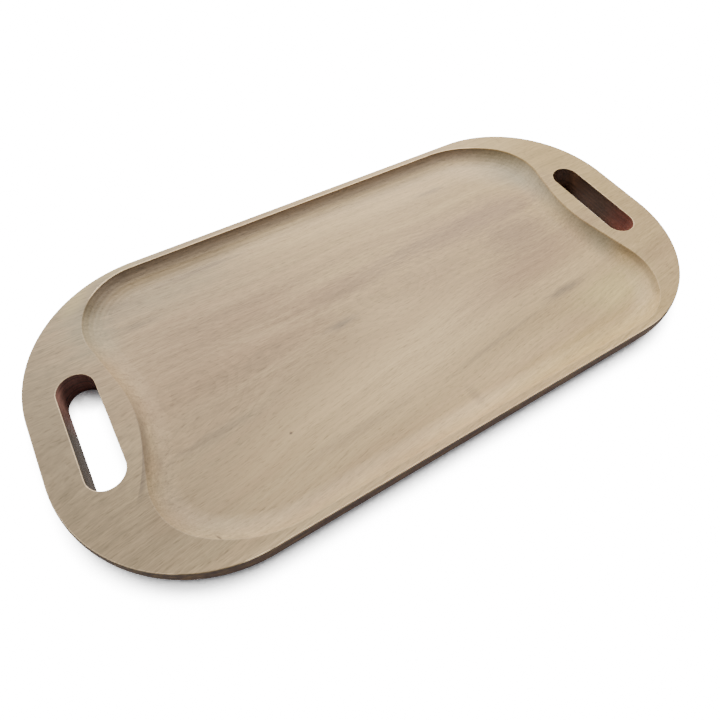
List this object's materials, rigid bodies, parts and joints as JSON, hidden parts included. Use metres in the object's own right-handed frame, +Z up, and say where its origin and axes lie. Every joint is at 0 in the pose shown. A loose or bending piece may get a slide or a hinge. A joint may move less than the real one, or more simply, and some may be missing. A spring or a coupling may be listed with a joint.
{
  "type": "serving tray",
  "caption": "Rounded wooden serving tray cut from one board, with a shallow cove-walled recess that narrows at each hand slot and swollen outer sides.",
  "frame": {"origin": "middle of the flat underside, on the surface the tray stands on", "axes": "+X along the length from one hand slot to the other, +Y across the width, +Z up out of the recess"},
  "size_m": [0.5, 0.247, 0.021],
  "materials": {
    "tray_board": "sanded, dull, unstained"
  },
  "bodies": {
    "root": {"tray_board": "tray_board"}
  },
  "joints": []
}
